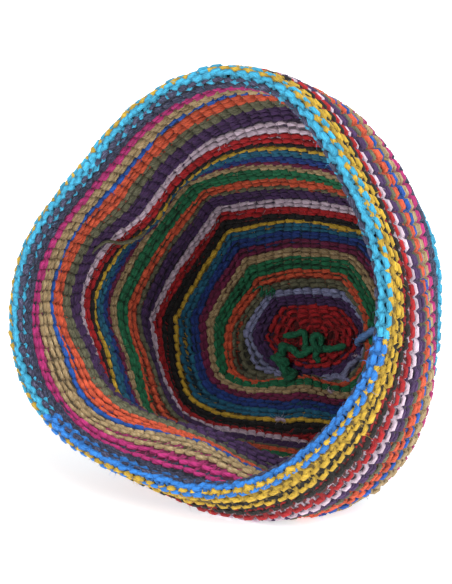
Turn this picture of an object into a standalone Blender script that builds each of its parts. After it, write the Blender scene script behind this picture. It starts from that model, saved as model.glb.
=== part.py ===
"""A chunky striped beanie that lies on its side with its turned-up cuff open to the front."""
import bpy
import bmesh
import numpy as np
from math import pi

# Driving sizes, in metres
rim_width = 0.148        # inside of the opening, side to side
rim_height = 0.152       # inside of the opening, bottom to top
rim_lift = 0.1000        # middle of the opening above the surface that the hat lies on
hat_depth = 0.153        # from the opening to the tip of the crown, inside
wall = 0.004             # one layer of knitting
cuff_clearance = 0.0003  # between the body and the cuff turned up over it
rim_round = 0.0014       # rounding of the knitting's edges

# Knitting counts
body_rows = 70           # from the fold at the rim to the middle of the crown
cuff_rows = 23           # from the fold to the cast-on edge
rest_fade_rows = 4       # rows over which the body drops from the cuff to the surface
first_crown_row = 16     # where the wedges of the crown begin to show
full_crown_row = 46      # where the wedges show in full
corner_reach = 1.03      # how far the polygon's corners stand past the round section
wedge_share = 0.7        # how far the section goes from round to the polygon

# Mesh counts
points_round = 64
cuff_steps = 11          # rows of faces along the cuff, and along the body under it
open_steps = 17          # rows of faces along the rest of the body

# Sections of the inner face, from the opening back to the tip of the crown.
# depth is a share of hat_depth, width and side are shares of rim_width, height and lift of rim_height;
# side and lift move the section's middle from the rim's, and turn is in degrees about the vertical.
section_columns = ("row", "depth", "width", "height", "side", "lift", "turn")
sections = (
    (0,    0.00, 0.490, 0.479, 0.002, -0.008, 0),
    (8,    0.16, 0.509, 0.485, -0.006, -0.046, 0),
    (20,   0.39, 0.525, 0.458, -0.037, -0.099, 0),
    (34,   0.63, 0.482, 0.423, -0.017, -0.199, 0),
    (40,   0.74, 0.481, 0.418, -0.025, -0.260, 0),
    (44.5, 0.81, 0.410, 0.352, -0.084, -0.273, 0),
    (51,   0.89, 0.290, 0.246, -0.124, -0.295, 8),
    (56,   0.93, 0.230, 0.191, -0.135, -0.323, 12),
    (60.5, 0.957, 0.191, 0.151, -0.116, -0.350, 16),
    (65,   0.975, 0.146, 0.1065, -0.104, -0.3615, 18),
    (70,   0.985, 0.00, 0.00, -0.090, -0.355, 18),
)

# Folds: clock is the hour seen from the opening and spread its reach in hours,
# push is outward and pull towards the opening as shares of rim_height, over rows first to last.
fold_columns = ("name", "clock", "spread", "push", "pull", "first", "last", "fade")
folds = (
    ("flat upper left", 10.4, 1.1, -0.100, 0.0, -5, 22, 8),
    ("full lower left", 7.9, 1.0, 0.071, 0.0, -5, 42, 6),
    ("high shoulder at right", 0.7, 0.9, 0.064, 0.0, -5, 16, 8),
    ("belly at lower right", 5.0, 1.4, 0.095, 0.0, 6, 14, 8),
    ("corner at left", 8.5, 0.5, 0.018, 0.0, 12, 30, 8),
    ("flat right side behind the cuff", 3.2, 1.0, -0.085, 0.0, 29, 42, 6),
    ("bottom drawn forward", 6.6, 1.6, 0.0, 0.066, 16, 22, 8),
    ("valley behind the humps", 6.8, 1.4, 0.085, 0.0, 21, 33, 4),
)
# Humps of the body alone, which rise inside the cuff and leave the cuff as it is
body_humps = (
    ("hump across the lower left", 7.05, 0.6, -0.025, 0.0, 7, 14, 4),
    ("hump along the bottom", 6.1, 0.9, -0.118, 0.0, 7, 17, 6),
    ("fold down the left wall", 8.15, 0.4, -0.034, 0.0, 9, 34, 6),
    ("step at the upper left", 10.0, 0.4, -0.020, 0.0, 14, 26, 6),
)

# Shallow dents and swells: the push outward at each of eight hours, 1.5 apart and clockwise from the top
dent_columns = ("name", "first", "last", "fade", "pushes")
dents = (
    ("rim", -5, 5, 12, (-0.009, -0.017, 0.004, -0.015, 0.017, 0.033, 0.017, 0.021)),
    ("front", 14, 24, 8, (-0.020, 0.012, -0.025, 0.023, 0.020, -0.040, -0.002, 0.004)),
    ("middle", 30, 40, 7, (-0.011, -0.023, -0.021, -0.017, -0.027, 0.018, 0.023, -0.014)),
    ("crown", 46, 56, 6, (0.003, 0.005, -0.013, 0.036, -0.036, 0.060, -0.010, -0.027)),
)
dent_spread = 0.95       # hours that a dent reaches to each side

# Clock hours of the creases between the crown's wedges
crown_creases = (1.2, 2.6, 3.6, 4.8, 6.2, 7.6, 8.8, 10.7)


def smooth_step(value):
    clipped = np.clip(value, 0.0, 1.0)
    return clipped * clipped * (3 - 2 * clipped)


def section_value(row, column):
    """A section column at a knitting row, on a smooth curve through the table."""
    rows = np.array([line[0] for line in sections], float)
    values = np.array([line[section_columns.index(column)] for line in sections], float)
    slopes = np.gradient(values, rows)
    at = np.clip(np.searchsorted(rows, row, side="right") - 1, 0, len(rows) - 2)
    span = rows[at + 1] - rows[at]
    t = (row - rows[at]) / span
    start = (2 * t**3 - 3 * t**2 + 1) * values[at] + (t**3 - 2 * t**2 + t) * span * slopes[at]
    end = (3 * t**2 - 2 * t**3) * values[at + 1] + (t**3 - t**2) * span * slopes[at + 1]
    return start + end


def wedge_shape(row, clock):
    """Share of the round section's radius where the crown's wedges make it a polygon."""
    creases = np.array(crown_creases)
    after = np.searchsorted(creases, clock, side="right") % len(creases)
    low, high = creases[after - 1], creases[after]
    half = ((high - low) % 12) * pi / 12
    off_middle = ((clock - low) % 12) * pi / 6 - half
    polygon = corner_reach * np.cos(half) / np.cos(off_middle)
    share = wedge_share * smooth_step((row - first_crown_row) / (full_crown_row - first_crown_row))
    return 1 + share * (polygon - 1)


def bump(row, clock, hour, spread, band):
    """Height of a fold or dent at a row and clock hour, from 0 to 1."""
    away = (clock - hour + 6) % 12 - 6
    rise = smooth_step((row - band["first"]) / band["fade"] + 1)
    fall = smooth_step((band["last"] - row) / band["fade"] + 1)
    return np.exp(-(away / spread) ** 2) * rise * fall


def fold_amounts(row, clock, inside):
    """Push outward and pull towards the opening of all folds and dents, in metres."""
    push, pull = np.zeros_like(clock), np.zeros_like(clock)
    for line in folds + (body_humps if inside else ()):
        fold = dict(zip(fold_columns, line))
        height = bump(row, clock, fold["clock"], fold["spread"], fold)
        push = push + fold["push"] * height
        pull = pull + fold["pull"] * height
    for line in dents:
        dent = dict(zip(dent_columns, line))
        for number, amount in enumerate(dent["pushes"]):
            hour = 12 * number / len(dent["pushes"])
            push = push + amount * bump(row, clock, hour, dent_spread, dent)
    return push * rim_height, pull * rim_height


def inner_face(row, angle, inside=True):
    """Point of the body's inner face at a row and an angle from the right, anticlockwise.
    When inside is False, the body's own humps are left out, as for the cuff."""
    row, angle = np.broadcast_arrays(np.asarray(row, float), np.asarray(angle, float))
    clock = (3 - angle * 6 / pi) % 12
    shape = wedge_shape(row, clock)
    push, pull = fold_amounts(row, clock, inside)
    across = (section_value(row, "width") * rim_width * shape + push) * np.cos(angle)
    upward = (section_value(row, "height") * rim_height * shape + push) * np.sin(angle)
    turn = np.radians(section_value(row, "turn"))
    x = section_value(row, "side") * rim_width + across * np.cos(turn)
    y = section_value(row, "depth") * hat_depth + across * np.sin(turn) - pull
    z = section_value(row, "lift") * rim_height + rim_lift + upward
    over_cuff = smooth_step((cuff_rows + rest_fade_rows - row) / rest_fade_rows)
    resting = wall + (wall + cuff_clearance) * over_cuff
    return np.stack([x, y, np.maximum(z, resting)], -1)


def knit_rows():
    """Knitting rows where the mesh has a ring of points, from the rim to the crown."""
    under_cuff = np.linspace(0, cuff_rows, cuff_steps + 1)
    past_cuff = np.linspace(cuff_rows, body_rows, open_steps + 1)
    return np.concatenate([under_cuff, past_cuff[1:]])


def new_material(name, colour, roughness):
    material = bpy.data.materials.new(name)
    material.use_nodes = True
    shader = material.node_tree.nodes["Principled BSDF"]
    shader.inputs["Base Color"].default_value = (*colour, 1)
    shader.inputs["Roughness"].default_value = roughness
    shader.inputs["Metallic"].default_value = 0
    return material


def tube_mesh(name, rings, tip=None):
    """Open tube through rings of points, faces outward, closed by a fan when it has a tip."""
    mesh = bpy.data.meshes.new(name)
    form = bmesh.new()
    loops = [[form.verts.new(point) for point in ring] for ring in rings]
    for near, far in zip(loops, loops[1:]):
        for i in range(len(near)):
            j = (i + 1) % len(near)
            form.faces.new((near[j], near[i], far[i], far[j]))
    if tip is not None:
        point = form.verts.new(tip)
        last = loops[-1]
        for i in range(len(last)):
            form.faces.new((last[(i + 1) % len(last)], last[i], point))
    form.normal_update()
    form.to_mesh(mesh)
    form.free()
    return mesh


def knitted_layer(name, mesh, material, collection):
    """One layer of knitting: the wall grows outward from the mesh, with rounded edges."""
    layer = bpy.data.objects.new(name, mesh)
    collection.objects.link(layer)
    mesh.materials.append(material)
    mesh.shade_smooth()
    thickness = layer.modifiers.new("wall", "SOLIDIFY")
    thickness.thickness = wall
    thickness.offset = 1
    edges = layer.modifiers.new("rounded edges", "BEVEL")
    edges.width = rim_round
    edges.segments = 2
    edges.limit_method = "ANGLE"
    edges.angle_limit = np.radians(60)
    return layer


def stand_on_origin(layers):
    """Moves the hat so that the origin is the bottom middle of its box."""
    shapes = bpy.context.evaluated_depsgraph_get()
    corners = []
    for layer in layers:
        mesh = layer.evaluated_get(shapes).to_mesh()
        corners += [tuple(v.co) for v in mesh.vertices]
    low, high = np.min(corners, axis=0), np.max(corners, axis=0)
    for layer in layers:
        layer.location = (-(low[0] + high[0]) / 2, -(low[1] + high[1]) / 2, -low[2])


def build_beanie():
    for thing in list(bpy.data.objects):
        bpy.data.objects.remove(thing, do_unlink=True)
    collection = bpy.data.collections.new("beanie")
    bpy.context.scene.collection.children.link(collection)
    angles = np.arange(points_round) * 2 * pi / points_round
    rings = [inner_face(row, angles) for row in knit_rows()[:-1]]
    tip = inner_face(body_rows, 0.0)
    body_mesh = tube_mesh("body", rings, tip)
    body_wool = new_material("navy_wool", (0.10, 0.12, 0.20), 0.9)
    body = knitted_layer("body", body_mesh, body_wool, collection)
    # The cuff's inner face stands one wall and the clearance off the body's inner face without its humps
    plain_rings = [inner_face(row, angles, inside=False) for row in knit_rows()[:cuff_steps + 2]]
    plain_mesh = tube_mesh("plain body", plain_rings)
    normals = np.array([tuple(v.normal) for v in plain_mesh.vertices])
    bpy.data.meshes.remove(plain_mesh)
    cuff_rings = []
    for number in range(cuff_steps + 1):
        first = number * points_round
        cuff_rings.append(plain_rings[number] + (wall + cuff_clearance) * normals[first:first + points_round])
    cuff_wool = new_material("yellow_wool", (0.70, 0.43, 0.05), 0.9)
    cuff = knitted_layer("cuff", tube_mesh("cuff", cuff_rings), cuff_wool, collection)
    stand_on_origin((body, cuff))


build_beanie()
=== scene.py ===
# Striped beanie knitted by hand in thick wool, lying on its side with its turned-up cuff open to the front.
# Every row of knitting is a strand of its own, bent into loops that hang in the loops of the row before,
# so the reverse side shows inside the body and outside the cuff, and the smooth side shows behind.
import bpy
import numpy as np
from math import pi, radians
from mathutils import Matrix, Vector


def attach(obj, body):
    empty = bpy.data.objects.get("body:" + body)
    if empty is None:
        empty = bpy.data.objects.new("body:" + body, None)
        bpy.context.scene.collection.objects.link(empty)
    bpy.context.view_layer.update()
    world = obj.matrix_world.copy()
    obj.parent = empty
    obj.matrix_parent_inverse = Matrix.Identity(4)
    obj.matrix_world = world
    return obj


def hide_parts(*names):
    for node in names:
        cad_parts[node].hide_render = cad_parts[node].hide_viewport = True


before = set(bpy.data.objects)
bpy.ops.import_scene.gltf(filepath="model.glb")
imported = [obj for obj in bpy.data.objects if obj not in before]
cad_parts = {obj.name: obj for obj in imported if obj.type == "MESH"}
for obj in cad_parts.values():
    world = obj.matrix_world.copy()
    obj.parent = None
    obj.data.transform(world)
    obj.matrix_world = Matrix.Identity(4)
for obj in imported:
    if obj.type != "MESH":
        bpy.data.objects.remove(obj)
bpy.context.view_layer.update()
print("frame loaded")

# The fabric's shape, with the same figures as the part: metres, rows of knitting and hours of the clock
cloth = dict(
    rimWidth=0.148, rimHeight=0.152, rimLift=0.1000, depth=0.153,
    wall=0.004, gap=0.0003,
    bodyRows=70, cuffRows=23, restFadeRows=4,
    firstCrownRow=16, fullCrownRow=46, cornerReach=1.03, wedgeShare=0.7,
    creases=(1.2, 2.6, 3.6, 4.8, 6.2, 7.6, 8.8, 10.7),
    toPart=(0.0066814, -0.0772716, 0.0),     # from the middle of the rim to the part's origin
    foldRows=1.15,                           # rows that the fold at the rim takes on each side
    foldAt=0.5,                              # the part's row where that fold turns
    knitRows=74, knitCuffRows=24,
    # A row of knitting and the part's row that it lies on, where a stripe was placed
    marks=((1.15, 0.5), (20.5, 20), (24.7, 23.5), (36.5, 34), (42.5, 40), (47.7, 44.5),
           (55.5, 51), (60.5, 56), (64.5, 60.5), (68.7, 65), (74, 70)),
    cuffMarks=((1.15, 0.5), (23, 23), (24, 24)),
)
sectionColumns = ("row", "depth", "width", "height", "side", "lift", "turn")
sections = np.array((
    (0, 0, 0.49, 0.479, 0.002, -0.008, 0),
    (8, 0.16, 0.509, 0.485, -0.006, -0.046, 0),
    (20, 0.39, 0.525, 0.458, -0.037, -0.099, 0),
    (34, 0.63, 0.482, 0.423, -0.017, -0.199, 0),
    (40, 0.74, 0.481, 0.418, -0.025, -0.26, 0),
    (44.5, 0.81, 0.41, 0.352, -0.084, -0.273, 0),
    (51, 0.89, 0.29, 0.246, -0.124, -0.295, 8),
    (56, 0.93, 0.23, 0.191, -0.135, -0.323, 12),
    (60.5, 0.957, 0.191, 0.151, -0.116, -0.35, 16),
    (65, 0.975, 0.146, 0.1065, -0.104, -0.3615, 18),
    (70, 0.985, 0, 0, -0.09, -0.355, 18),
), float)
folds = (   # clock, spread, push outward, pull towards the opening, first row, last row, fade
    (10.4, 1.1, -0.100, 0.0, -5, 22, 8),     # flat upper left
    (7.9, 1.0, 0.071, 0.0, -5, 42, 6),       # full lower left
    (0.7, 0.9, 0.064, 0.0, -5, 16, 8),       # high shoulder at right
    (5.0, 1.4, 0.095, 0.0, 6, 14, 8),        # belly at lower right
    (8.5, 0.5, 0.018, 0.0, 12, 30, 8),       # corner at left
    (3.2, 1.0, -0.085, 0.0, 29, 42, 6),      # flat right side behind the cuff
    (6.6, 1.6, 0.0, 0.066, 16, 22, 8),       # bottom drawn forward
    (6.8, 1.4, 0.085, 0.0, 21, 33, 4),       # valley behind the humps
)
bodyHumps = (   # the same columns, for the body alone, inside the cuff
    (7.05, 0.6, -0.025, 0.0, 7, 14, 4),      # hump across the lower left
    (6.1, 0.9, -0.118, 0.0, 7, 17, 6),       # hump along the bottom
    (8.15, 0.4, -0.034, 0.0, 9, 34, 6),      # fold down the left wall
    (10.0, 0.4, -0.020, 0.0, 14, 26, 6),     # step at the upper left
)
dents = (   # first row, last row, fade, and the push at each 1.5 hours from the top
    (-5, 5, 12, (-0.009, -0.017, 0.004, -0.015, 0.017, 0.033, 0.017, 0.021)),      # rim
    (14, 24, 8, (-0.020, 0.012, -0.025, 0.023, 0.020, -0.040, -0.002, 0.004)),     # front
    (30, 40, 7, (-0.011, -0.023, -0.021, -0.017, -0.027, 0.018, 0.023, -0.014)),   # middle
    (46, 56, 6, (0.003, 0.005, -0.013, 0.036, -0.036, 0.060, -0.010, -0.027)),     # crown
)
dentHours, dentSpread = 1.5, 0.95      # from one push to the next, and how far each one spreads


def smoothStep(value):
    clipped = np.clip(value, 0.0, 1.0)
    return clipped * clipped * (3 - 2 * clipped)


def sectionValue(row, column):
    # A smooth curve through one column of the sections
    rows, values = sections[:, 0], sections[:, sectionColumns.index(column)]
    slopes = np.gradient(values, rows)
    at = np.clip(np.searchsorted(rows, row, side="right") - 1, 0, len(rows) - 2)
    span = rows[at + 1] - rows[at]
    t = (row - rows[at]) / span
    start = (2 * t**3 - 3 * t**2 + 1) * values[at] + (t**3 - 2 * t**2 + t) * span * slopes[at]
    end = (3 * t**2 - 2 * t**3) * values[at + 1] + (t**3 - t**2) * span * slopes[at + 1]
    return start + end


def wedgeShape(row, clock):
    # The crown's rings turn from round to a polygon with its corners at the creases
    creases = np.array(cloth["creases"])
    after = np.searchsorted(creases, clock, side="right") % len(creases)
    low, high = creases[after - 1], creases[after]
    half = ((high - low) % 12) * pi / 12
    offMiddle = ((clock - low) % 12) * pi / 6 - half
    polygon = cloth["cornerReach"] * np.cos(half) / np.cos(offMiddle)
    crownShare = (row - cloth["firstCrownRow"]) / (cloth["fullCrownRow"] - cloth["firstCrownRow"])
    return 1 + cloth["wedgeShare"] * smoothStep(crownShare) * (polygon - 1)


def foldAmounts(row, clock, inside):
    push, pull = np.zeros_like(clock), np.zeros_like(clock)
    for hour, spread, outward, forward, first, last, fade in folds + (bodyHumps if inside else ()):
        away = (clock - hour + 6) % 12 - 6
        share = np.exp(-(away / spread) ** 2)
        share = share * smoothStep((row - first) / fade + 1) * smoothStep((last - row) / fade + 1)
        push, pull = push + outward * share, pull + forward * share
    for first, last, fade, pushes in dents:
        band = smoothStep((row - first) / fade + 1) * smoothStep((last - row) / fade + 1)
        for number, outward in enumerate(pushes):
            away = (clock - dentHours * number + 6) % 12 - 6
            push = push + outward * np.exp(-(away / dentSpread) ** 2) * band
    return push * cloth["rimHeight"], pull * cloth["rimHeight"]


def innerFace(row, clock, inside):
    row, clock = np.broadcast_arrays(np.asarray(row, float), np.asarray(clock, float) % 12)
    angle = (3 - clock) * pi / 6
    shape = wedgeShape(row, clock)
    push, pull = foldAmounts(row, clock, inside)
    across = (sectionValue(row, "width") * cloth["rimWidth"] * shape + push) * np.cos(angle)
    upward = (sectionValue(row, "height") * cloth["rimHeight"] * shape + push) * np.sin(angle)
    turn = np.radians(sectionValue(row, "turn"))
    x = sectionValue(row, "side") * cloth["rimWidth"] + across * np.cos(turn)
    y = sectionValue(row, "depth") * cloth["depth"] + across * np.sin(turn) - pull
    z = sectionValue(row, "lift") * cloth["rimHeight"] + cloth["rimLift"] + upward
    overCuff = smoothStep((cloth["cuffRows"] + cloth["restFadeRows"] - row) / cloth["restFadeRows"])
    resting = cloth["wall"] + (cloth["wall"] + cloth["gap"]) * overCuff
    return np.stack([x, y, np.maximum(z, resting)], -1) + np.array(cloth["toPart"])


def unit(vectors):
    return vectors / np.maximum(np.linalg.norm(vectors, axis=-1, keepdims=True), 1e-12)


def softened(values, times):
    for _ in range(times):       # each pass averages a point with its neighbours round the ring
        values = (np.roll(values, 1, 1) + 2 * values + np.roll(values, -1, 1)) / 4
    return values


mapping = dict(
    ringPoints=768, rowStep=0.25,          # how closely the sheet is mapped, round a ring and along the rows
    pointPasses=6, normalPasses=30,        # of smoothing
    closedRings=6,                         # at the crown's middle, too small to have a way out of their own
    wallRings=80,                          # along the wall, which show which way is out
)


def innerTables(rows, inside):
    # Points of the inner face, the way out of the fabric and the way on to the crown, ring by ring.
    # Every ring is spaced evenly along its own length, clockwise from the top, as stitches are.
    ringPoints = mapping["ringPoints"]
    clocks = np.arange(ringPoints * 2 + 1) * 12 / (ringPoints * 2)
    shares = np.arange(ringPoints) / ringPoints
    inner = np.zeros((len(rows), ringPoints, 3))
    for number, row in enumerate(rows):
        ring = innerFace(row, clocks, inside)
        along = np.concatenate([[0], np.cumsum(np.linalg.norm(np.diff(ring, axis=0), axis=1))])
        for axis in range(3):
            inner[number, :, axis] = np.interp(shares * along[-1], along, ring[:, axis])
    inner = softened(inner, mapping["pointPasses"])
    clockwise = np.roll(inner, -1, 1) - np.roll(inner, 1, 1)
    onward = np.gradient(inner, axis=0)
    outward = unit(np.cross(clockwise, onward))
    outward[-mapping["closedRings"]:] = outward[-mapping["closedRings"]]
    outward = unit(softened(outward, mapping["normalPasses"]))
    fromMiddle = inner - inner.mean(1, keepdims=True)
    if np.mean(np.sum(outward * fromMiddle, -1)[:mapping["wallRings"]]) < 0:
        outward = -outward
    onward = unit(onward - outward * np.sum(onward * outward, -1, keepdims=True))
    return inner, outward, onward


def fabricSheet():
    # The fabric's middle as one sheet, from the cuff's edge (row -24) over the fold (row 0)
    # to the crown (row 74)
    rowStep = mapping["rowStep"]
    rows = np.arange(0, cloth["bodyRows"] + rowStep / 2, rowStep)
    bodyTables, cuffTables = innerTables(rows, True), innerTables(rows, False)

    def atRow(table, row):
        place = np.clip(row / rowStep, 0, len(rows) - 1.001)
        low = int(place)
        return table[low] + (table[low + 1] - table[low]) * (place - low)

    sheetRows = np.arange(-cloth["knitCuffRows"], cloth["knitRows"] + rowStep / 2, rowStep)
    points = np.zeros((len(sheetRows), mapping["ringPoints"], 3))
    faces = np.zeros_like(points)
    turning = cloth["foldRows"]
    bend = (cloth["wall"] + cloth["gap"]) / 2                  # radius of the fabric's middle round the fold
    for number, row in enumerate(sheetRows):
        behind = np.interp(abs(row), *np.transpose(cloth["marks" if row > 0 else "cuffMarks"]))
        if abs(row) < turning:
            base, normal, onward = (atRow(table, cloth["foldAt"]) for table in bodyTables)
            bendAngle = row / turning * pi / 2
            away = -np.sin(bendAngle) * normal - np.cos(bendAngle) * onward
            points[number] = base + (cloth["wall"] + cloth["gap"] / 2) * normal + bend * away
            faces[number] = away
        else:
            base, normal = (atRow(table, behind) for table in (bodyTables if row > 0 else cuffTables)[:2])
            stand = cloth["wall"] / 2 if row > 0 else cloth["wall"] * 1.5 + cloth["gap"]
            points[number] = base + stand * normal
            faces[number] = -normal if row > 0 else normal
    around = np.linalg.norm(np.roll(points, -1, 1) - points, axis=-1).sum(1)
    return dict(points=points, faces=faces, rows=sheetRows, around=around)


sheet = fabricSheet()


def onSheet(row, share):
    # Point in the fabric's middle and the way that its reverse side faces there, at a row
    # and a share of the way round
    ringCount, pointCount = sheet["points"].shape[:2]
    place = np.clip((row - sheet["rows"][0]) / mapping["rowStep"], 0, ringCount - 1.001)
    low = place.astype(int)
    up = (place - low)[:, None]
    turn = (share % 1) * pointCount
    left = turn.astype(int) % pointCount
    right = (left + 1) % pointCount
    side = (turn - np.floor(turn))[:, None]
    found = []
    for values in (sheet["points"], sheet["faces"]):
        near = values[low, left] * (1 - side) + values[low, right] * side
        far = values[low + 1, left] * (1 - side) + values[low + 1, right] * side
        found.append(near * (1 - up) + far * up)
    return found[0], unit(found[1])


def ringLength(row):
    return float(np.interp(row, sheet["rows"], sheet["around"]))


print("fabric laid out")


def linear(hexColour):
    parts = [int(hexColour[i:i + 2], 16) / 255 for i in (1, 3, 5)]
    return tuple(c / 12.92 if c <= 0.04045 else ((c + 0.055) / 1.055) ** 2.4 for c in parts)


def addNode(tree, kind, links=None, values=None, **settings):
    node = tree.nodes.new(kind)
    for name, value in settings.items():
        setattr(node, name, value)
    for name, value in (values or {}).items():
        node.inputs[name].default_value = value
    for name, socket in (links or {}).items():
        tree.links.new(socket, node.inputs[name])
    return node


# Dyed wool, spun thick and loose: no gloss, a soft pale edge from its loose fibres, streaks of darker
# and lighter fibre that follow the twist, and a tone that wanders along the strand.
wool = dict(
    ior=1.54, roughness=0.86, sheen=0.14, sheenRoughness=0.5,
    twist=28,              # degrees between the fibres and the strand
    fibre=0.22,            # mm across a streak: fibres of 0.03 mm are too fine to show, so bunches are drawn
    streak=2.6,            # mm along a streak
    ply=1.3,               # mm from ply to ply
    wander=14,             # mm between changes of tone
    darkest=0.82, brightest=1.16,          # what that change does to the colour
    fibreShare=0.7,        # of the relief that the streaks give, against the plies
    relief=0.00035, reliefStrength=0.6,    # metres
    paintedFlankShade=0.52,        # painted shade: how bright a strand's flanks are against its top, as light gets lost there
    paintedCoreShade=0.14,         # and the painted shade on the felted middle deep between the loops
    paintedSunkShade=0.52,         # and the painted shade on the side of a loop that lies deepest
)


def woolYarn(name, colour, deep=0.55, pale=1.30, heather=None, heatherShare=0.0):
    # Deep and pale are how dark and light its fibres get; heather is a second dye, in flecks
    material = bpy.data.materials.new(name)
    material.use_nodes = True
    tree = material.node_tree
    shader = tree.nodes["Principled BSDF"]
    shader.inputs["IOR"].default_value = wool["ior"]
    shader.inputs["Roughness"].default_value = wool["roughness"]
    shader.inputs["Sheen Weight"].default_value = wool["sheen"]
    shader.inputs["Sheen Roughness"].default_value = wool["sheenRoughness"]
    base = np.array(linear(colour))
    shader.inputs["Sheen Tint"].default_value = (*np.clip(base * 0.6 + 0.3, 0, 1), 1)
    strand = addNode(tree, "ShaderNodeUVMap", uv_map="yarnUv")       # mm along and round the strand
    turned = addNode(tree, "ShaderNodeMapping", {"Vector": strand.outputs[0]},
                     {"Rotation": (0, 0, radians(wool["twist"]))})
    streaks = addNode(tree, "ShaderNodeMapping", {"Vector": turned.outputs[0]},
                      {"Scale": (1 / wool["streak"], 1 / wool["fibre"] / 2, 1)})
    fibres = addNode(tree, "ShaderNodeTexNoise", {"Vector": streaks.outputs[0]},
                     {"Scale": 1.0, "Detail": 3.0, "Roughness": 0.6})
    slow = addNode(tree, "ShaderNodeMapping", {"Vector": strand.outputs[0]},
                   {"Scale": (1 / wool["wander"], 0.05, 1)})
    tone = addNode(tree, "ShaderNodeTexNoise", {"Vector": slow.outputs[0]}, {"Scale": 1.0, "Detail": 2.0})
    ramp = addNode(tree, "ShaderNodeValToRGB", {"Fac": fibres.outputs["Fac"]})
    ramp.color_ramp.elements[0].position, ramp.color_ramp.elements[1].position = 0.30, 0.72
    ramp.color_ramp.elements[0].color = (*np.clip(base * deep, 0, 1), 1)
    ramp.color_ramp.elements[1].color = (*np.clip(base * pale + 0.012, 0, 1), 1)
    middle = ramp.color_ramp.elements.new(0.5)
    middle.color = (*base, 1)
    colourNow = ramp.outputs["Color"]
    if heather:
        flecks = addNode(tree, "ShaderNodeTexNoise", {"Vector": streaks.outputs[0]},
                         {"Scale": 1.7, "Detail": 2.0})
        picked = addNode(tree, "ShaderNodeMapRange", {"Value": flecks.outputs["Fac"]},
                         {"From Min": 0.62 - 0.2 * heatherShare, "From Max": 0.72 - 0.2 * heatherShare})
        mixed = addNode(tree, "ShaderNodeMix", data_type="RGBA")
        tree.links.new(picked.outputs[0], mixed.inputs[0])
        tree.links.new(colourNow, mixed.inputs[6])
        mixed.inputs[7].default_value = (*linear(heather), 1)
        colourNow = mixed.outputs[2]
    brightness = addNode(tree, "ShaderNodeMapRange", {"Value": tone.outputs["Fac"]},
                         {"From Min": 0.3, "From Max": 0.7,
                          "To Min": wool["darkest"], "To Max": wool["brightest"]})
    paintedGapShade = addNode(tree, "ShaderNodeAttribute", attribute_name="paintedGapShade")     # painted shade, darker where strands touch
    # The dye's wandering brightness times the painted shade
    value = addNode(tree, "ShaderNodeMath", operation="MULTIPLY")
    tree.links.new(brightness.outputs[0], value.inputs[0])
    tree.links.new(paintedGapShade.outputs["Fac"], value.inputs[1])
    toned = addNode(tree, "ShaderNodeHueSaturation", {"Value": value.outputs[0], "Color": colourNow})
    tree.links.new(toned.outputs[0], shader.inputs["Base Color"])
    # A scale of 2 pi / 20 is one wave a mm
    plies = addNode(tree, "ShaderNodeTexWave", {"Vector": turned.outputs[0]},
                    {"Scale": 2 * pi / 20 / wool["ply"], "Distortion": 1.2, "Detail": 1.0},
                    wave_type="BANDS", bands_direction="Y")
    raised = addNode(tree, "ShaderNodeMath", operation="MULTIPLY_ADD")
    tree.links.new(fibres.outputs["Fac"], raised.inputs[0])
    raised.inputs[1].default_value = wool["fibreShare"]
    tree.links.new(plies.outputs["Fac"], raised.inputs[2])
    bump = addNode(tree, "ShaderNodeBump", {"Height": raised.outputs[0]},
                   {"Strength": wool["reliefStrength"], "Distance": wool["relief"]})
    tree.links.new(bump.outputs[0], shader.inputs["Normal"])
    return material


yarns = dict(
    cyan=woolYarn("cyan wool yarn", "#3FB3DC"),
    rimBlue=woolYarn("bright blue wool yarn", "#2E86E0"),
    navy=woolYarn("navy heather wool yarn", "#2F3450", heather="#6A6C8C", heatherShare=0.5),
    magenta=woolYarn("magenta wool yarn", "#C8317F"),
    tan=woolYarn("tan wool yarn", "#B79B6E", heather="#D8C49C", heatherShare=0.4),
    blue=woolYarn("blue wool yarn", "#1F5FBE"),
    orange=woolYarn("orange wool yarn", "#E8603C"),
    olive=woolYarn("olive heather wool yarn", "#6B6B52", heather="#8C8A6C", heatherShare=0.4),
    purple=woolYarn("purple wool yarn", "#4E3062"),
    white=woolYarn("pale pink wool yarn", "#E6CFE0", deep=0.72, pale=1.1),
    red=woolYarn("red wool yarn", "#BE1A22"),
    black=woolYarn("black wool yarn", "#1A1716", pale=1.8),
    yellow=woolYarn("yellow wool yarn", "#DDB438"),
    teal=woolYarn("teal wool yarn", "#1F6E8E"),
    deepBlue=woolYarn("deep blue wool yarn", "#1E3F8C"),
    maroon=woolYarn("maroon wool yarn", "#7A1F4A"),
    green=woolYarn("green wool yarn", "#1F7C50"),
    lavender=woolYarn("lavender wool yarn", "#989DC4"),
    tie=woolYarn("bright green wool yarn", "#1F7A54", deep=0.35, pale=1.8),
    tail=woolYarn("pale blue wool yarn", "#79ABF4"),
)
print("wool mixed")

# Stripes as (yarn, rows): the body from the fold to the crown, the cuff from the fold to its edge
bodyStripes = (
    ("cyan", 1), ("navy", 3), ("magenta", 2), ("tan", 3), ("blue", 1), ("orange", 3), ("olive", 3),
    ("purple", 4), ("white", 2), ("red", 2), ("black", 1), ("yellow", 1), ("teal", 2), ("deepBlue", 2),
    ("maroon", 1), ("tan", 2), ("green", 3), ("orange", 2), ("olive", 1), ("purple", 3), ("white", 2),
    ("red", 2), ("black", 2), ("yellow", 1), ("teal", 2), ("deepBlue", 2), ("maroon", 2), ("tan", 2),
    ("green", 3), ("orange", 2), ("olive", 2), ("lavender", 2), ("purple", 3), ("red", 5),
)
cuffStripes = (
    ("cyan", 1), ("yellow", 2), ("black", 1), ("red", 1), ("white", 1), ("purple", 2), ("olive", 1),
    ("orange", 2), ("blue", 1), ("tan", 2), ("magenta", 2), ("navy", 4), ("cyan", 4),
)

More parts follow.
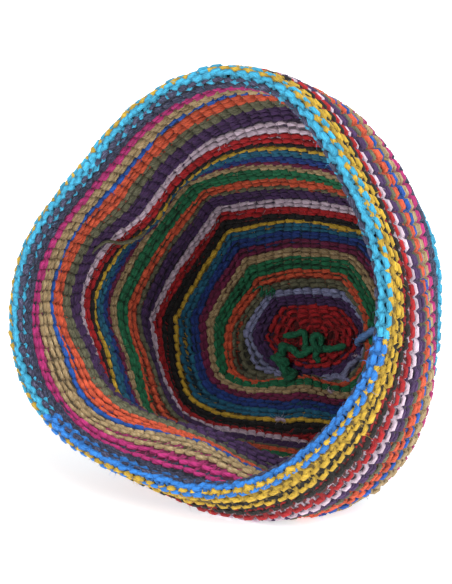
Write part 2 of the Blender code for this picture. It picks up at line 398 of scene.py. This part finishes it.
# One loop of the knitting; lengths across are shares of a stitch, lengths up are rows, the rest are metres.
# The hat was knitted from the crown down, so every head points to the rim and then out along the cuff.
loop = dict(
    stitches=100, stitchWidth=0.00460, rowHeight=0.003,
    rise=0.80,             # how far head and foot stand from the row's middle
    crestRise=0.58,        # and in the two rows at the rim
    square=2.2,            # how level head and foot lie before the legs leave them
    lean=0.11,             # how far head and foot slant, as spun yarn makes them
    neck=0.280,            # how far the legs lean in at the foot
    longHead=0.085,        # how much longer the head is than the foot
    depth=0.00046,         # how far head and foot stand to the reverse side, and the legs to the smooth side
    proudHead=0.00068,     # how much further out the head stands than the foot
    levelRows=1.3,         # up to which it doesn't by the rim, which bends head and foot apart
    proudRows=4.0,         # rows from there to where it does in full
    radius=0.00122,        # of the strand
    sides=5, samples=9,
    crownRow=30,           # up to which the rows keep their full number of stitches
    lastStitches=7,        # drawn together at the crown's middle
)
# How uneven hand knitting is: stitches from one change to the next, and the size of the change
uneven = dict(
    across=(1.0, 0.055),                           # stitches
    reach=(1.0, 0.06),                             # share of the rise
    up=(0.8, 0.075), drift=(6.0, 0.13),            # rows
    depth=(0.7, 0.00018),                          # metres
    swell=(1.5, 0.13), knot=(0.5, 0.10),           # shares of the radius
    tone=(1.0, 0.18),                              # share of the brightness of the painted light and shade on the loops
)
randomness = np.random.default_rng(27)


def wander(count, stitches, amount):
    # Closed smooth noise for the samples along a row
    knots = max(3, int(round(count / (stitches * loop["samples"]))))
    values = randomness.normal(0, amount, knots)
    place = np.arange(count) * knots / count
    low = place.astype(int)
    t = smoothStep(place - low)
    return values[low % knots] * (1 - t) + values[(low + 1) % knots] * t


def loopShape(t):
    # Across in stitches, up in rows towards the head, and out to the reverse side in metres
    across = t + loop["neck"] * np.sin(4 * pi * t) + loop["longHead"] * np.sin(2 * pi * t)
    level = np.tanh(loop["square"] * np.cos(2 * pi * t)) / np.tanh(loop["square"])
    out = loop["depth"] * np.tanh(2.2 * (np.cos(4 * pi * t) + 0.3))
    return across, level, out


def loopTimes():
    # Samples along one loop, evenly spaced on the strand
    t = np.linspace(0, 1, 2001)
    across, level, out = loopShape(t)
    sideways = np.diff(across) * loop["stitchWidth"]
    upward = np.diff(level) * loop["rise"] * loop["rowHeight"]
    along = np.concatenate([[0], np.cumsum(np.sqrt(sideways**2 + upward**2 + np.diff(out)**2))])
    return np.interp((np.arange(loop["samples"]) + 0.5) / loop["samples"] * along[-1], along, t)


times = loopTimes()


def rowStrand(row, stitches, firstStitch=0, lastStitch=None):
    # The strand of one row: points, the way the reverse side faces, radius, whether it closes, and how high
    # each point stands towards the reverse side, from 0 to 1
    perStitch = loop["samples"]
    count = stitches * perStitch
    t = np.tile(times, stitches)
    across, level, out = loopShape(t)
    fromCrest = float(np.clip((abs(row) - loop["levelRows"]) / loop["proudRows"], 0, 1))
    rise = loop["crestRise"] if abs(row) < 1 else loop["rise"]
    rising = rise * level + loop["lean"] * np.sin(4 * pi * t)
    out = out + loop["proudHead"] * fromCrest * np.cos(2 * pi * t)
    stitch = np.repeat(np.arange(stitches), perStitch)
    share = (stitch + across + wander(count, *uneven["across"])) / stitches
    sheetRow = row - rising * (1 + wander(count, *uneven["reach"]))
    sheetRow = sheetRow + wander(count, *uneven["up"]) + wander(count, *uneven["drift"])
    depth = out + wander(count, *uneven["depth"])
    radius = loop["radius"] * (1 + wander(count, *uneven["swell"]) + wander(count, *uneven["knot"]))
    points, facing = onSheet(sheetRow, share)
    points = points + facing * depth[:, None]
    # Painted light and shade: how high each point stands, varied at random, sets how bright its tube is
    # painted
    height = smoothStep((out - out.min()) / (out.max() - out.min())) * (1 + wander(count, *uneven["tone"]))
    if lastStitch is None:
        return points, facing, radius, True, height
    keep = np.arange(firstStitch * perStitch, lastStitch * perStitch + 1) % count
    return points[keep], facing[keep], radius[keep], False, height[keep]


def aroundStrand(first, second, sides, start=0.0):
    # Points of a circle round each place, in the plane of two directions
    turn = np.arange(sides) * 2 * pi / sides + start
    return first[:, None] * np.cos(turn)[None, :, None] + second[:, None] * np.sin(turn)[None, :, None]


def skin(near, far, sides):
    # Four-sided faces between rings of corners, given each ring's first corner
    side, nextSide = np.arange(sides)[None], (np.arange(sides)[None] + 1) % sides
    return np.stack([near + side, far + side, far + nextSide, near + nextSide], -1).reshape(-1, 4)


def millimetresAlong(points, closed):
    following = np.roll(points, -1, 0) if closed else np.append(points[1:], points[-1:], 0)
    return np.concatenate([[0], np.cumsum(np.linalg.norm(following - points, axis=1))]) * 1000


def tube(points, facing, radius, closed, height=None, sides=loop["sides"]):
    # A strand's skin as vertices and faces in columns, one column of faces to each step along the strand
    along = unit(np.roll(points, -1, 0) - np.roll(points, 1, 0) if closed else np.gradient(points, axis=0))
    across = unit(np.cross(along, facing))
    ring = aroundStrand(across, np.cross(across, along), sides, pi / 2)
    corners = (points[:, None] + ring * np.asarray(radius)[:, None, None]).reshape(-1, 3)
    columns = len(points) if closed else len(points) - 1
    near = np.arange(columns)[:, None] * sides
    far = ((np.arange(columns) + 1) % len(points))[:, None] * sides
    ends = [] if closed else [np.arange(sides)[::-1], np.arange(sides) + (len(points) - 1) * sides]
    outward = np.sin(np.arange(sides) * 2 * pi / sides + pi / 2)[None]     # 1 on the reverse side, -1 behind
    # Painted shade: a strand's flanks darker than its top and underside
    tone = wool["paintedFlankShade"] + (1 - wool["paintedFlankShade"]) * np.abs(outward) * np.ones((len(points), 1))
    if height is not None:
        # Painted light and shade: the reverse side is bright where the loop stands up, and the smooth side
        # where it lies low
        lit = np.where(outward > 0, height[:, None], 1 - height[:, None])
        tone = tone * (wool["paintedSunkShade"] + (1 - wool["paintedSunkShade"]) * lit)
    return dict(corners=corners, quads=skin(near, far, sides), ends=ends, columns=columns, sides=sides,
                length=millimetresAlong(points, closed), girth=2 * pi * float(np.mean(radius)) * 1000,
                tone=tone.ravel())


# Short fibres that stand off every strand, each with one bend and three sides, thin to the tip
hair = dict(
    perStitch=1.0, shortest=0.0012, longest=0.0040, radius=0.00009, taper=(1.0, 0.8, 0.3),
    spread=1.3,            # radians to each side of the way that the reverse side faces
    root=0.7,              # share of the strand's radius at which it starts
    along=1.1,             # how much it lies down along the strand
    stray=0.4, curl=0.6, droop=0.6,
    mapLength=1.2, mapGirth=0.5,       # mm of wool drawn along and round it
)


def fuzz(points, facing, radius, count):
    at = randomness.integers(0, len(points) - 1, count)
    along = unit(points[at + 1] - points[at])
    side = np.cross(along, facing[at])
    lean = randomness.uniform(-hair["spread"], hair["spread"], count)[:, None]
    outward = unit(facing[at] * np.cos(lean) + side * np.sin(lean))
    root = points[at] + outward * np.asarray(radius)[at][:, None] * hair["root"]
    first = outward + along * randomness.normal(0, hair["along"], (count, 1))
    first = unit(first + randomness.normal(0, hair["stray"], (count, 3)))
    second = unit(first + randomness.normal(0, hair["curl"], (count, 3)) - hair["droop"] * outward)
    length = randomness.uniform(hair["shortest"], hair["longest"], (count, 1)) / 2
    spine = np.stack([root, root + first * length, root + (first + second) * length], 1)
    across = unit(np.cross(first, side))
    other = np.cross(first, across)
    clear = spine[:, :, 2].min(1) > hair["radius"] * 2       # no fibre reaches through the floor
    spine, across, other, count = spine[clear], across[clear], other[clear], int(clear.sum())
    ring = aroundStrand(across, other, 3)
    width = hair["radius"] * np.array(hair["taper"])
    corners = (spine[:, :, None] + ring[:, None] * width[None, :, None, None]).reshape(-1, 3)
    near = (np.arange(count * 3).reshape(count, 3)[:, :2].ravel() * 3)[:, None]
    return dict(corners=corners, quads=skin(near, near + 3, 3), ends=[], columns=count * 2, sides=3,
                length=np.arange(count * 2 + 1) * hair["mapLength"], girth=hair["mapGirth"],
                tone=np.ones(len(corners)))


core = dict(reach=0.50, halfThick=0.0006, girth=8.0, fewest=12)    # rows to each side, metres, mm and places


def rowCore(row, stitches):
    # The flat felted middle of a row, which closes the gaps between its loops and is painted dark as the shade
    # in them
    count, sides = max(core["fewest"], stitches), 4
    share = np.arange(count) / count
    centre, facing = onSheet(np.full(count, row), share)
    low, _ = onSheet(np.full(count, row - core["reach"]), share)
    high, _ = onSheet(np.full(count, row + core["reach"]), share)
    out = facing * core["halfThick"]
    corners = np.stack([low + out, low - out, high - out, high + out], 1).reshape(-1, 3)
    near = np.arange(count)[:, None] * sides
    far = ((np.arange(count) + 1) % count)[:, None] * sides
    return dict(corners=corners, quads=skin(near, far, sides)[:, ::-1], ends=[], columns=count, sides=sides,
                length=millimetresAlong(centre, True), girth=core["girth"],
                tone=np.full(count * sides, wool["paintedCoreShade"]))


def mapCorners(left, right, low, high):
    # Places on a map for the four corners of every face
    return np.stack([np.stack([left, low], -1), np.stack([right, low], -1),
                     np.stack([right, high], -1), np.stack([left, high], -1)], 1).reshape(-1, 2)


bakeMap = dict(cellShape=5.0, margin=0.08, endRadius=0.4)      # a cell's height by its width, and shares of it


def strandPiece(name, tubes, material):
    # Joins tubes to one mesh with two maps: yarnUv in mm for the wool, and OFBake with each column
    # in its own cell
    corners = np.concatenate([part["corners"] for part in tubes])
    corners[:, 2] = np.maximum(corners[:, 2], hair["radius"])      # pressed flat where the hat rests
    columns = sum(part["columns"] + len(part["ends"]) for part in tubes)
    perLine = max(8, int(np.ceil(np.sqrt(columns * bakeMap["cellShape"]))))
    lines = int(np.ceil(columns / perLine))
    margin, endRadius = bakeMap["margin"], bakeMap["endRadius"]
    faceSizes, loops, yarnUv, bakeUv = [], [], [], []
    offset, cell = 0, 0
    for part in tubes:
        count, sides, start = part["columns"], part["sides"], part.get("start", 0.0)
        loops.append((part["quads"] + offset).ravel())
        faceSizes.append(np.full(count * sides, 4))
        number = cell + np.repeat(np.arange(count), sides)
        side = np.tile(np.arange(sides), count)
        left, line = number % perLine, number // perLine
        low = (line + margin + (1 - 2 * margin) * side / sides) / lines
        high = (line + margin + (1 - 2 * margin) * (side + 1) / sides) / lines
        bakeUv.append(mapCorners(left / perLine, (left + 1) / perLine, low, high))
        begin = np.repeat(part["length"][:count], sides) + start
        finish = np.repeat(part["length"][1:count + 1], sides) + start
        girth = part["girth"] / sides
        yarnUv.append(mapCorners(begin, finish, side * girth, (side + 1) * girth))
        cell += count
        for end in part["ends"]:
            loops.append(end + offset)
            faceSizes.append(np.array([len(end)]))
            turn = np.arange(len(end)) * 2 * pi / len(end)
            endU = (cell % perLine + 0.5 + endRadius * np.cos(turn)) / perLine
            endV = (cell // perLine + 0.5 + endRadius * np.sin(turn)) / lines
            bakeUv.append(np.stack([endU, endV], -1))
            yarnUv.append(np.stack([start + np.cos(turn), np.sin(turn)], -1))
            cell += 1
        offset += len(part["corners"])
    faceSizes, loops = np.concatenate(faceSizes), np.concatenate(loops)
    mesh = bpy.data.meshes.new(name)
    mesh.vertices.add(len(corners))
    mesh.vertices.foreach_set("co", corners.astype(np.float32).ravel())
    mesh.loops.add(len(loops))
    mesh.loops.foreach_set("vertex_index", loops.astype(np.int32))
    mesh.polygons.add(len(faceSizes))
    mesh.polygons.foreach_set("loop_start", np.concatenate([[0], np.cumsum(faceSizes)[:-1]]).astype(np.int32))
    mesh.polygons.foreach_set("loop_total", faceSizes.astype(np.int32))
    mesh.polygons.foreach_set("use_smooth", np.ones(len(faceSizes), bool))
    for mapName, values in (("yarnUv", yarnUv), ("OFBake", bakeUv)):
        layer = mesh.uv_layers.new(name=mapName)
        layer.data.foreach_set("uv", np.concatenate(values).astype(np.float32).ravel())
    # Painted shade at every corner, which the wool multiplies into its colour
    paintedShades = mesh.attributes.new("paintedGapShade", "FLOAT", "POINT")
    paintedShades.data.foreach_set("value", np.concatenate([part["tone"] for part in tubes]).astype(np.float32))
    mesh.uv_layers["yarnUv"].active = True
    mesh.uv_layers["yarnUv"].active_render = True
    mesh.update(calc_edges=True)
    mesh.validate()
    mesh.materials.append(material)
    piece = bpy.data.objects.new(name, mesh)
    bpy.context.scene.collection.objects.link(piece)
    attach(piece, "root")
    return piece


def stitchCount(row):
    # All the way round until the crown narrows, and then as many as fit
    if row < loop["crownRow"]:
        return loop["stitches"]
    fitting = round(ringLength(row) / loop["stitchWidth"])
    return int(min(loop["stitches"], max(loop["lastStitches"], fitting)))


rim = dict(blueFrom=3.3 / 12, blueTo=7.7 / 12)      # shares of the way round, where it is in brighter blue
rowShift = 97.0      # mm of wool from row to row, so that no two have the same streaks
strands = {}
for node, stripes, ahead in (("body", bodyStripes, 1), ("cuff", cuffStripes, -1)):
    rowYarns = [yarn for yarn, rowsOfIt in stripes for _ in range(rowsOfIt)]
    for number, yarn in enumerate(rowYarns):
        row = ahead * (number + 0.5)
        stitches = stitchCount(row)
        made = strands.setdefault((node, yarn), [])
        hairs = int(stitches * hair["perStitch"])
        if number == 0:          # both stretches are cut from the same row, so they meet
            change, join = int(rim["blueFrom"] * stitches), int(rim["blueTo"] * stitches)
            state = randomness.bit_generator.state
            lower = rowStrand(row, stitches, change, join)
            randomness.bit_generator.state = state
            upper = rowStrand(row, stitches, join, stitches + change)
            strands.setdefault((node, "rimBlue"), []).extend([tube(*lower), fuzz(*lower[:3], hairs // 3)])
            made.extend([tube(*upper), fuzz(*upper[:3], hairs * 2 // 3)])
        else:
            strand = rowStrand(row, stitches)
            made.append(dict(tube(*strand), start=rowShift * number))
            made.append(fuzz(*strand[:3], hairs))
            made.append(rowCore(row, stitches))

# Loose yarn on the inside: the knotted ends at the middle of the crown and a frayed tuft, raised loops,
# a cut tail, lint and a loose strand. Each is a yarn, the strand's radius in mm, its number of fibres,
# and points as (row, hour, mm above the fabric).
looseYarns = (
    ("tie", 1.85, 170, ((70.2, 3.62, 1.8), (71.2, 4.33, 3.2), (71.8, 5.52, 2.4), (71.8, 6.48, 2.0),
                        (71.0, 6.81, 3.0), (70.5, 7.12, 3.6), (70.8, 7.69, 3.0), (70.5, 8.06, 2.6),
                        (70.0, 8.34, 3.6), (69.5, 7.81, 2.4), (68.5, 7.84, 2.2), (67.5, 7.45, 2.4),
                        (66.2, 6.91, 3.4), (65.5, 6.55, 3.8), (58.2, 6.09, 3.4), (59.2, 6.3, 1.8))),
    ("tie", 1.80, 120, ((67.4, 7.9, 2.0), (68.6, 7.3, 4.6), (66.6, 7.2, 5.0), (64.0, 6.7, 5.4),
                        (60.5, 6.35, 4.6), (61.6, 6.1, 2.0))),
    ("tie", 1.60, 110, ((71.6, 5.0, 2.0), (71.8, 5.52, 4.2), (72.8, 6.44, 5.2), (73.5, 8.03, 5.0),
                        (73.8, 3.17, 4.2), (73.0, 4.66, 3.4), (72.0, 5.56, 3.0), (70.6, 5.9, 2.0),
                        (69.8, 5.6, 1.2))),
    ("tie", 1.60, 80, ((70.6, 8.9, 1.0), (71.8, 9.08, 2.8), (72.5, 9.53, 3.2), (72.2, 7.41, 2.6),
                       (71.2, 6.92, 1.6))),
    ("tie", 0.50, 60, ((60.2, 10.50, 1.2), (61.0, 10.85, 2.6), (62.2, 10.55, 2.4), (61.4, 10.95, 1.6),
                       (63.2, 10.70, 2.8), (62.4, 11.05, 2.2), (64.3, 10.85, 1.4))),
    ("tie", 0.35, 6, ((61.8, 11.05, 1.4), (63.2, 10.90, 3.0), (65.2, 10.59, 1.4))),
    ("lavender", 1.45, 20, ((64.6, 3.9, 0.6), (63.5, 4.0, 3.4), (63.8, 4.28, 4.6), (62.5, 4.53, 3.2),
                            (61.6, 4.62, 0.6))),
    ("lavender", 1.30, 20, ((61.2, 5.25, 0.6), (61.8, 5.05, 2.4), (63.0, 4.80, 2.6), (60.8, 4.45, 0.8))),
    ("tail", 1.80, 10, ((56.5, 2.9, 1.5), (58.5, 3.0, 3.0), (61.5, 3.08, 4.2), (66.5, 3.28, 4.0))),
    ("white", 0.55, 20, ((65.8, 3.82, 1.6), (66.2, 3.90, 2.4))),
    ("white", 0.55, 24, ((55.4, 5.14, 1.6), (55.7, 5.24, 2.6))),
    ("white", 0.85, 30, ((47.7, 5.88, 1.4), (47.9, 5.97, 2.6), (47.7, 6.06, 1.5))),
    ("olive", 0.75, 40, ((17.0, 9.55, 1.0), (17.8, 9.78, 3.0), (21.5, 9.91, 4.2), (24.0, 10.11, 3.4),
                         (24.8, 10.2, 1.0))),
)
loose = dict(perMark=5, sides=8, uneven=0.09, taper=0.6)      # samples a mark, and how thin the ends are


def looseStrand(radius, marks):
    rows, hours, heights = np.transpose(marks)
    base, facing = onSheet(rows, hours / 12)
    base = base + facing * (heights / 1000)[:, None]
    padded = np.concatenate([[2 * base[0] - base[1]], base, [2 * base[-1] - base[-2]]])
    place = np.linspace(0, len(base) - 1, (len(base) - 1) * loose["perMark"] + 1)
    low = np.minimum(place.astype(int), len(base) - 2)
    t = (place - low)[:, None]
    a, b, c, d = (padded[low + number] for number in range(4))
    points = 0.5 * (2 * b + (c - a) * t + (2 * a - 5 * b + 4 * c - d) * t**2 + (3 * b - a - 3 * c + d) * t**3)
    thick = radius / 1000 * (1 + randomness.normal(0, loose["uneven"], len(points)))
    thick[[0, -1]] *= loose["taper"]
    return points, unit(facing[low] * (1 - t) + facing[low + 1] * t), thick


for yarn, radius, fibreCount, marks in looseYarns:
    points, facing, thick = looseStrand(radius, marks)
    made = strands.setdefault(("body", yarn), [])
    made.append(tube(points, facing, thick, False, sides=loose["sides"]))
    made.append(fuzz(points, facing, thick, fibreCount))

total = 0
for (node, yarn), tubes in strands.items():
    piece = strandPiece(node + "_" + yarn, tubes, yarns[yarn])
    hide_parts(node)
    total += sum(len(part["quads"]) * 2 for part in tubes)
print("knitted", len(strands), "pieces,", total, "triangles")

# A light table under white acrylic: matt, and lit from below, which takes most of the shadow away
table = dict(half=60, colour="#F4F4F3", roughness=0.9, glow=0.60)
floorMesh = bpy.data.meshes.new("floor")
floorCorners = [(x * table["half"], y * table["half"], 0) for x, y in ((-1, -1), (1, -1), (1, 1), (-1, 1))]
floorMesh.from_pydata(floorCorners, [], [(0, 1, 2, 3)])
floor = bpy.data.objects.new("floor", floorMesh)
bpy.context.scene.collection.objects.link(floor)
acrylic = bpy.data.materials.new("lit white acrylic")
acrylic.use_nodes = True
acrylicShader = acrylic.node_tree.nodes["Principled BSDF"]
acrylicShader.inputs["Base Color"].default_value = (*linear(table["colour"]), 1)
acrylicShader.inputs["Roughness"].default_value = table["roughness"]
acrylicShader.inputs["Emission Color"].default_value = (1, 1, 1, 1)
acrylicShader.inputs["Emission Strength"].default_value = table["glow"]
floorMesh.materials.append(acrylic)

# The camera looks in at the opening from the front left, a little from above, as the photograph does
camera = dict(
    rimMiddle=(0.0, 0.0, 0.103),         # metres from the floor below the rim's middle
    swing=27, pitch=12,                  # degrees round from the front, and up
    distance=0.550, aside=0.0119, above=-0.0062,
    focalPixels=1430, imageHeight=584, filmHeight=24,
)
swing, pitch = radians(camera["swing"]), radians(camera["pitch"])
right = Vector((np.cos(swing), np.sin(swing), 0))
back = Vector((np.sin(swing) * np.cos(pitch), -np.cos(swing) * np.cos(pitch), np.sin(pitch)))
up = back.cross(right)
aim = Vector(camera["rimMiddle"]) + Vector(cloth["toPart"]) + camera["aside"] * right + camera["above"] * up
lens = bpy.data.cameras.new("camera")
lens.sensor_fit = "VERTICAL"
lens.sensor_height = camera["filmHeight"]
lens.lens = camera["focalPixels"] / camera["imageHeight"] * camera["filmHeight"]
lens.clip_start = 0.01
eye = bpy.data.objects.new("camera", lens)
bpy.context.scene.collection.objects.link(eye)
turned = Matrix((right, up, back)).transposed().to_4x4()
eye.matrix_world = Matrix.Translation(aim + camera["distance"] * back) @ turned
bpy.context.scene.camera = eye


def softSun(name, fromWhere, strength, spread):
    light = bpy.data.lights.new(name, "SUN")
    light.energy = strength
    light.angle = radians(spread)
    lamp = bpy.data.objects.new(name, light)
    bpy.context.scene.collection.objects.link(lamp)
    lamp.rotation_euler = (-Vector(fromWhere)).to_track_quat("-Z", "Y").to_euler()


softSun("key", (1.0, -0.8, 1.1), 2.2, 35)
softSun("front", (-0.10, -1.0, 0.40), 0.65, 25)
world = bpy.data.worlds.new("studio")
bpy.context.scene.world = world
world.use_nodes = True
world.node_tree.nodes["Background"].inputs["Color"].default_value = (1, 1, 1, 1)
world.node_tree.nodes["Background"].inputs["Strength"].default_value = 0.50
bpy.context.scene.view_settings.view_transform = "Standard"
print("floor, camera and lights set")
